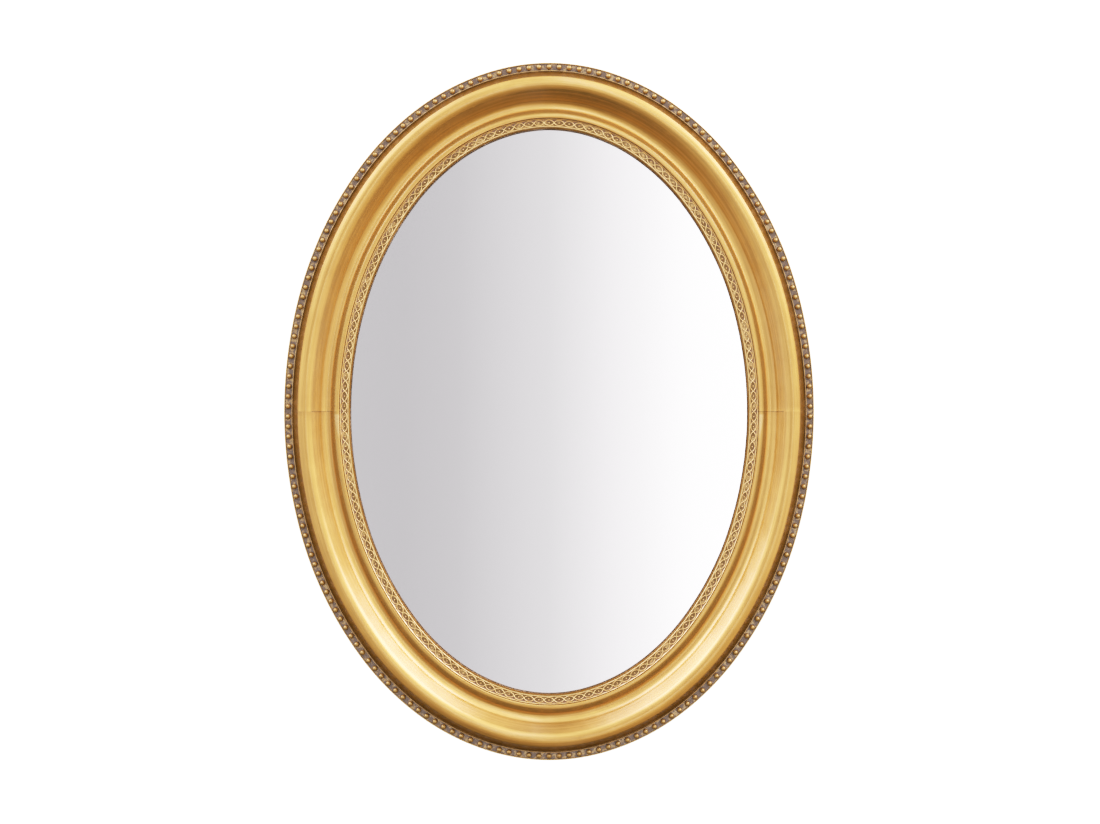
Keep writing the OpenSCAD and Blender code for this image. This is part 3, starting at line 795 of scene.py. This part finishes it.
def seam_marks(tree, height, inset, patches):
    """Where the halves meet, at height 0: a faint broken line, and on the small roll under it
    a lap of paler leaf that narrows downwards"""
    off_seam = maths(tree, "ABSOLUTE", height)
    close = node(tree, "MapRange", {0: off_seam, 1: 0.2 * MM, 2: 0.8 * MM, 3: 1.0, 4: 0.0})
    broken = curve_of(tree, patches, [(0.48, 0), (0.53, 0.6)])
    nick = maths(tree, "MULTIPLY", close.outputs[0], broken)
    length = by_place(tree, height, [(-30, 0), (-22, 0.6), (-4, 0.75), (-2, 0), (1, 0)])
    narrowed = maths(tree, "MULTIPLY_ADD", height, LAP_NARROWS, inset)
    width = by_place(tree, narrowed, [(53.5, 0), (54.5, 1), (60.1, 1), (60.5, 0), (62, 0)])
    return nick, maths(tree, "MULTIPLY", length, width)


# %% Leaf, glaze and painted shade together
# How much of the wear each pattern makes; they add up to 1
BY_STREAKS, BY_LINES, BY_PATCHES = 0.4, 0.4, 0.2
# What streaks and the glaze with its painted shade add to the roughness, what glaze and
# painted shade take from the lacquer, and what the grain adds to the relief
STREAKS_DULL, GLAZE_AND_SHADE_DULL, GLAZE_AND_SHADE_HIDE, GRAIN_RAISES = 0.25, 0.2, -0.9, 0.25


def gold(name, by_inset, by_height, glaze_and_shade_colours, glaze_and_shade_metal, pale, deep, blotch, least,
         roughness=0.28):
    """Lacquered leaf, between a pale and a deep colour, and brown glaze on it that is partly
    painted shade. It lies where two ramps, over the inset and over the height in mm, say so,
    with its own colour over the inset and its own share of metal. Patches, blotch to a metre,
    break it up, and least is what they leave of it"""
    made = finish(name)
    tree = made.node_tree
    rail = rail_of(tree)
    place = node(tree, "SeparateXYZ", {0: rail}).outputs
    spot = spot_of(tree)
    height = node(tree, "SeparateXYZ", {0: spot}).outputs["Z"]
    streaks, lines = streaks_along(tree, rail, height)
    patches = noise(tree, spot, blotch, 4.0, 0.6)
    grain = noise(tree, spot, 900.0, 2.0, 0.6)
    wear = maths(tree, "MULTIPLY", patches, BY_PATCHES)
    wear = maths(tree, "MULTIPLY_ADD", lines, BY_LINES, wear)
    wear = maths(tree, "MULTIPLY_ADD", streaks, BY_STREAKS, wear)
    leaf = mix_colours(tree, curve_of(tree, wear, [(0.39, 0), (0.61, 1)]), deep, pale)
    # Brown glaze, partly painted shade, and how much of it lies on each spot
    glaze_and_shade = glaze_and_shade_share(tree, place, height, patches, by_inset, by_height, least)
    nick, lap = seam_marks(tree, height, place["Y"], patches)
    leaf = mix_colours(tree, nick, leaf, umber)
    leaf = mix_colours(tree, lap, leaf, lap_leaf)
    colour = mix_colours(tree, glaze_and_shade, leaf, by_place(tree, place["Y"], glaze_and_shade_colours))
    metallic = maths(tree, "MULTIPLY_ADD", glaze_and_shade, glaze_and_shade_metal - 1.0, 1.0)
    dull = maths(tree, "MULTIPLY_ADD", glaze_and_shade, GLAZE_AND_SHADE_DULL, roughness)
    dull = maths(tree, "MULTIPLY_ADD", streaks, STREAKS_DULL, dull)
    lacquer = maths(tree, "MULTIPLY_ADD", glaze_and_shade, GLAZE_AND_SHADE_HIDE, 1.0)
    relief = maths(tree, "ADD", streaks, lines)
    relief = maths(tree, "MULTIPLY_ADD", grain, GRAIN_RAISES, relief)
    bump = node(tree, "Bump", {"Height": relief, "Strength": 0.5, "Distance": 0.1 * MM})
    surface(tree, {"Base Color": colour, "Metallic": metallic, "Roughness": dull, "IOR": 1.35,
                   "Normal": bump.outputs[0], "Coat Weight": lacquer, "Coat Roughness": 0.14,
                   "Coat IOR": 1.8})
    return made


# %% The golds on the wood
# The brown here is partly patina and partly painted shade: on the big roll's outer flank, in the
# quirk behind the pearls, on the rise to the small roll, in the corner at the guilloche's seat and
# at the lip's edge
gilding = gold(
    "gilding", by_height=[(0, 0), (30, 0)],
    by_inset=[(0, 0.3), (9.2, 0.9), (9.7, 1), (12.5, 1), (15.5, 0.6), (17.3, 0.15), (18.5, 0),
              (50.4, 0), (51.6, 0.5), (54, 0.6), (55.8, 0.4), (57.2, 0), (60.1, 0),
              (60.3, 0.55), (60.6, 0.55), (61, 0), (70, 0), (70.4, 0.6), (70.8, 1)],
    glaze_and_shade_colours=[(0, umber), (9.8, umber), (10.6, brown), (30, brown), (44, olive), (57, olive),
           (60, brown), (71, brown)],
    glaze_and_shade_metal=0.9, pale=pale_leaf, deep=deep_leaf, blotch=28.0, least=0.75)
# On the bed the glaze is dusty grey; the umber on the inner bead's foot, in the quirk, is painted
# shade
beading_gold = gold(
    "beading gold", by_height=[(8, 0), (14, 0)],
    by_inset=[(0, 0.3), (0.6, 0), (1.1, 0.2), (1.5, 1), (7.8, 1), (8.2, 0.6), (8.7, 0.5),
              (9.3, 0.9)],
    glaze_and_shade_colours=[(0, dusty), (8, dusty), (8.6, umber), (9.3, umber)],
    glaze_and_shade_metal=0.1, pale=cream, deep=tan, blotch=260.0, least=0.5)
# The pearls are browner towards the bed: fully at their foot, faintly at their top
pearl_gold = gold(
    "pearl gold", by_inset=[(0, 0), (10, 0)],
    by_height=[(11.8, 1), (12.5, 1), (13.4, 0.8), (14.4, 0.35), (15.2, 0.1), (16, 0.1)],
    glaze_and_shade_colours=[(0, umber), (10, umber)],
    glaze_and_shade_metal=0.8, pale=pale_pearl, deep=deep_pearl, blotch=120.0, least=0.3, roughness=0.42)
# The floor of the band and the strands' foot are painted shade: clay-brown on the outer side, under
# the small roll, and darker brown further in
carving_gold = gold(
    "carving gold", by_inset=[(60, 0), (72, 0)],
    by_height=[(16, 1), (17.54, 1), (17.62, 0.3), (17.8, 0), (19, 0)],
    glaze_and_shade_colours=[(60, shaded_clay), (63.6, shaded_clay), (64.6, shadow), (70, dull_shadow)],
    glaze_and_shade_metal=0.3, pale=warm_cream, deep=tan, blotch=200.0, least=0.5)
print("nodes in a gold:", len(gilding.node_tree.nodes))

# %% [markdown]
# ## Behind the gold
# From behind, the wood is bare: the grain runs along the moulding, so it follows the rail
# attribute too. The board is pressed fibre, the hangers are zinc-plated, the points are plain
# cold-rolled steel, and the bumpers are felt. Each could be one plain colour, as they are
# hardly seen, but a little noise in colour and gloss is what tells wood from felt.

# %% Wood, board, steel and felt
def wood(name, bright, dark, where, stretch):
    """Plain wood: fine grain, stretched along one direction of a vector"""
    made = finish(name)
    tree = made.node_tree
    grain = noise(tree, stretched(tree, where(tree), stretch), 1.0, 5.0, 0.6)
    colour = mix_colours(tree, curve_of(tree, grain, [(0.35, 0), (0.65, 1)]), dark, bright)
    bump = node(tree, "Bump", {"Height": grain, "Strength": 0.4, "Distance": 0.1 * MM})
    surface(tree, {"Base Color": colour, "Roughness": 0.7, "Normal": bump.outputs[0]})
    return made


def metal(name, colour, roughness, scratch):
    """Bare or plated steel with faint scratches"""
    made = finish(name)
    tree = made.node_tree
    marks = noise(tree, stretched(tree, spot_of(tree), (900, 900, 160)), 1.0, 4.0, 0.6)
    dull = maths(tree, "MULTIPLY_ADD", marks, scratch, roughness - scratch / 2)
    shade = mix_colours(tree, marks, [0.82 * part for part in colour], colour)
    surface(tree, {"Base Color": shade, "Metallic": 1.0, "Roughness": dull})
    return made


def fibres(name, bright, dark, scale, roughness, depth):
    """Felt or pressed board: cloudy fibres with no direction"""
    made = finish(name)
    tree = made.node_tree
    cloud = noise(tree, spot_of(tree), scale, 6.0, 0.7)
    colour = mix_colours(tree, curve_of(tree, cloud, [(0.36, 0), (0.64, 1)]), dark, bright)
    bump = node(tree, "Bump", {"Height": cloud, "Strength": 0.6, "Distance": depth * MM})
    surface(tree, {"Base Color": colour, "Roughness": roughness, "Normal": bump.outputs[0]})
    return made


bare_wood = wood("bare wood", (0.50, 0.34, 0.19), (0.36, 0.22, 0.11), rail_of, (12, 420, 420))
beech = wood("beech", (0.62, 0.43, 0.27), (0.50, 0.32, 0.18), spot_of, (500, 500, 30))
board = fibres("pressed board", (0.36, 0.235, 0.14), (0.25, 0.155, 0.085), 420.0, 0.75, 0.06)
felt = fibres("felt", (0.085, 0.075, 0.068), (0.045, 0.040, 0.037), 900.0, 0.95, 0.25)
zinc = metal("zinc plate", (0.72, 0.71, 0.68), 0.34, 0.16)
steel = metal("steel", (0.50, 0.49, 0.48), 0.42, 0.20)
behind = (bare_wood, beech, board, felt, zinc, steel)
print("finishes behind the gold:", ", ".join(made.name for made in behind))

# %% Hand the golds out
# The back of the moulding, with its broken corner, and the rebate's floor stay bare
BACK_CORNER = 6.01
for half in (frame_upper, frame_lower):
    half.data.materials.append(gilding)
    half.data.materials.append(bare_wood)
    only(half)
    bpy.ops.object.mode_set(mode="EDIT")
    select_where(lambda p: p.y > -BACK_CORNER * MM or abs(p.y + (BUMPER + REBATE) * MM) < HAIR * MM)
    half.active_material_index = 1
    bpy.ops.object.material_slot_assign()
    bpy.ops.object.mode_set(mode="OBJECT")
    bare = sum(face.material_index for face in half.data.polygons)
    print(half.name, "faces left bare:", bare)
for half in (strip_upper, strip_lower):
    half.data.materials.append(beading_gold)
for half in (pearls_upper, pearls_lower):
    half.data.materials.append(pearl_gold)
for half in (band_upper, band_lower, strands_upper, strands_lower):
    half.data.materials.append(carving_gold)

# %% [markdown]
# ## Glass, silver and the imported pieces
# A mirror is two things, clear glass and a film of silver behind it. One shiny sheet could
# stand for both, but then the glass would have no thickness at its edge and no second, faint
# reflection from its front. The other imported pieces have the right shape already, so each
# only gets its finish.

# %% Glass and silver
glass = finish("glass")
surface(glass.node_tree, {"Base Color": (1.0, 0.99, 1.0, 1), "Roughness": 0.0, "IOR": 1.5,
                          "Transmission Weight": 1.0})
silver = finish("silver")
surface(silver.node_tree, {"Base Color": (0.985, 0.97, 0.985, 1), "Metallic": 1.0,
                           "Roughness": 0.0})
film.data.materials.append(silver)
plain_finishes = {
    "mirror_glass": glass, "backing_board": board, "retaining_points": steel,
    "joint_dowels_left": beech, "joint_dowels_right": beech,
    "bumper_left": felt, "bumper_right": felt,
    "hanger_strap_left": zinc, "hanger_strap_right": zinc,
    "hanger_ring_left": zinc, "hanger_ring_right": zinc,
    "hanger_screws_left": steel, "hanger_screws_right": steel,
}
for name, made in plain_finishes.items():
    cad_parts[name].data.materials.clear()
    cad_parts[name].data.materials.append(made)
print("packed pieces with a finish:", len(plain_finishes))
